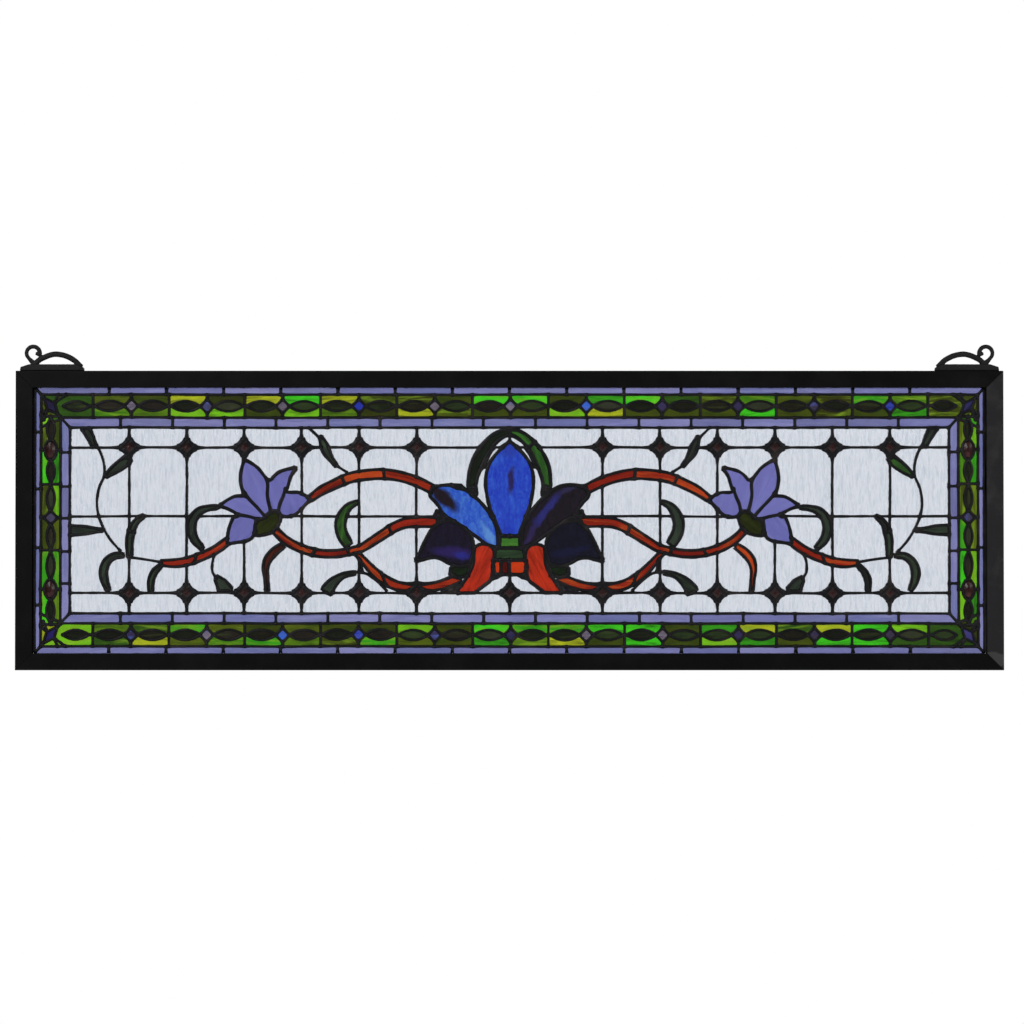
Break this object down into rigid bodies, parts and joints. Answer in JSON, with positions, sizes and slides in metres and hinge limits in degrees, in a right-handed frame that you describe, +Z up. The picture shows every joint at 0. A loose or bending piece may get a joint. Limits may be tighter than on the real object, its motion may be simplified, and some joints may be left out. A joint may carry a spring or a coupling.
{
  "type": "stained glass window",
  "caption": "Wide, low stained glass transom window with a jewelled lattice, scrolling vines, lilies and a central palmette, in a black metal channel frame with scroll hangers.",
  "frame": {"origin": "halfway between the two scroll hangers' hooks, at the height where a chain link bears inside them, in the middle of the panel's depth", "axes": "+X along the window's length, to the right seen from the front; +Z up; the front faces -Y"},
  "size_m": [0.838, 0.012, 0.2763],
  "materials": {
    "frame_metal": "satin black paint on a rolled metal channel, a little lighter along worn edges and at the mitres",
    "hanger_metal": "cast scroll, satin black, with a slightly grainy skin",
    "solder": "rounded solder seams with a dark brown-black patina",
    "lavender_glass": "opalescent lavender glass, faintly streaked, glossy",
    "green_glass": "streaky green glass, from bright green to yellow green and dark olive",
    "olive_glass": "very dark olive glass",
    "blue_glass": "wispy blue glass with brown-violet streaks",
    "plum_glass": "very dark plum glass with blue wisps",
    "leaf_glass": "dark green glass, lighter green in places",
    "orange_glass": "streaky orange-red glass",
    "clear_glass": "clear hammered glass with fine upright ripples and seeds"
  },
  "bodies": {
    "root": {"frame_top": "frame_metal", "frame_bottom": "frame_metal", "frame_left": "frame_metal", "frame_right": "frame_metal", "hanger_left": "hanger_metal", "hanger_right": "hanger_metal", "solder_seams": "solder", "outer_rim_top": "lavender_glass", "outer_rim_bottom": "lavender_glass", "outer_rim_left": "lavender_glass", "outer_rim_right": "lavender_glass", "inner_rim_top": "lavender_glass", "inner_rim_bottom": "lavender_glass", "inner_rim_left": "lavender_glass", "inner_rim_right": "lavender_glass", "ribbon_top": "green_glass", "ribbon_bottom": "green_glass", "ribbon_left": "green_glass", "ribbon_right": "green_glass", "lily_petals_left": "lavender_glass", "lily_petals_right": "lavender_glass", "lily_calyx_left": "olive_glass", "lily_calyx_right": "olive_glass", "palmette_petal_centre": "blue_glass", "palmette_petal_upper_left": "blue_glass", "palmette_petal_upper_right": "plum_glass", "palmette_petal_lower_left": "plum_glass", "palmette_petal_lower_right": "plum_glass", "palmette_collar": "leaf_glass", "palmette_arch": "leaf_glass", "palmette_leg_left": "orange_glass", "palmette_leg_right": "orange_glass", "vine_tail_left": "orange_glass", "vine_tail_right": "orange_glass", "vine_upper_left": "orange_glass", "vine_upper_right": "orange_glass", "vine_lower_left": "orange_glass", "vine_lower_right": "orange_glass", "palmette_bud_left": "leaf_glass", "palmette_bud_right": "leaf_glass", "leaf_jewel_left": "leaf_glass", "leaf_jewel_right": "leaf_glass", "leaf_fork_left": "leaf_glass", "leaf_fork_right": "leaf_glass", "leaf_foot_left": "leaf_glass", "leaf_foot_right": "leaf_glass", "leaf_hook_left": "leaf_glass", "leaf_hook_right": "leaf_glass", "leaf_drop_left": "leaf_glass", "leaf_drop_right": "leaf_glass", "leaf_top_left": "leaf_glass", "leaf_top_right": "leaf_glass", "leaf_loop_left": "leaf_glass", "leaf_loop_right": "leaf_glass", "clear_field": "clear_glass", "clear_arch": "clear_glass", "clear_loop_left": "clear_glass", "clear_loop_right": "clear_glass", "clear_bowl_left": "clear_glass", "clear_bowl_right": "clear_glass"}
  },
  "joints": []
}
